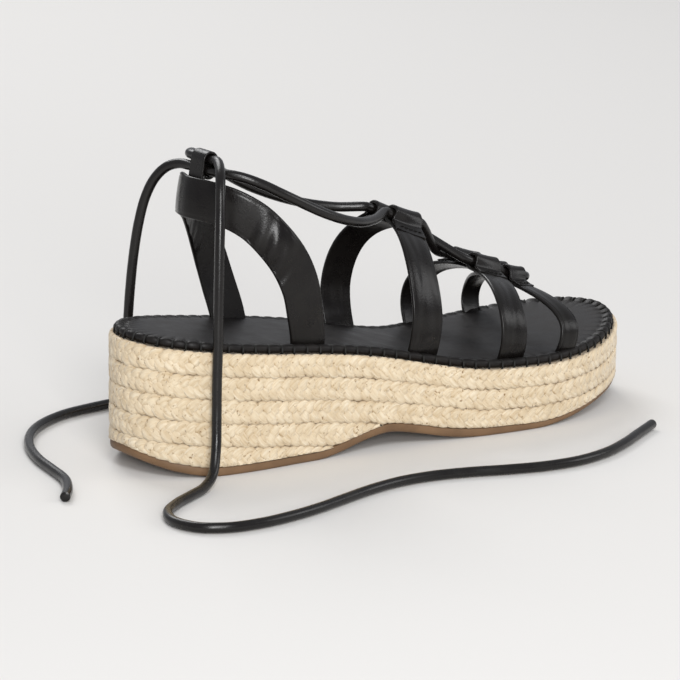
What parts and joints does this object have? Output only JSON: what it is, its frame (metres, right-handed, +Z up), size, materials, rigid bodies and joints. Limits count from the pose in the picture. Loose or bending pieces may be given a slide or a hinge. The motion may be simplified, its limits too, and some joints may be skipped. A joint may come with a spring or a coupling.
{
  "type": "gladiator sandal",
  "caption": "Right-foot lace-up gladiator sandal: jute-wrapped flatform sole, heel strap with cord loop, paired instep straps and a round lace with loose tie ends.",
  "frame": {"origin": "on the floor under the middle of the sole's length and width, measured without the two tie ends", "axes": "+X towards the toe, +Y towards the medial (big toe) side, +Z up"},
  "size_m": [0.3107, 0.1971, 0.1335],
  "materials": {
    "outsole_rubber": "matt moulded tan-brown rubber sheet",
    "jute_braid": "natural jute plait laid in rows, dry and fibrous",
    "footbed_leather": "black lining leather, matt, whip-stitched at the rim",
    "strap_leather": "smooth black leather, satin",
    "lace_cord": "round black leather cord, satin"
  },
  "bodies": {
    "root": {"outsole": "outsole_rubber", "jute_platform": "jute_braid", "footbed": "footbed_leather", "heel_strap": "strap_leather", "heel_loop": "strap_leather", "strap_rear_lateral": "strap_leather", "strap_rear_medial": "strap_leather", "strap_middle_lateral": "strap_leather", "strap_middle_medial": "strap_leather", "strap_toe_lateral": "strap_leather", "strap_toe_medial": "strap_leather", "lace": "lace_cord", "tie_end_lateral": "lace_cord", "tie_end_medial": "lace_cord"}
  },
  "joints": []
}
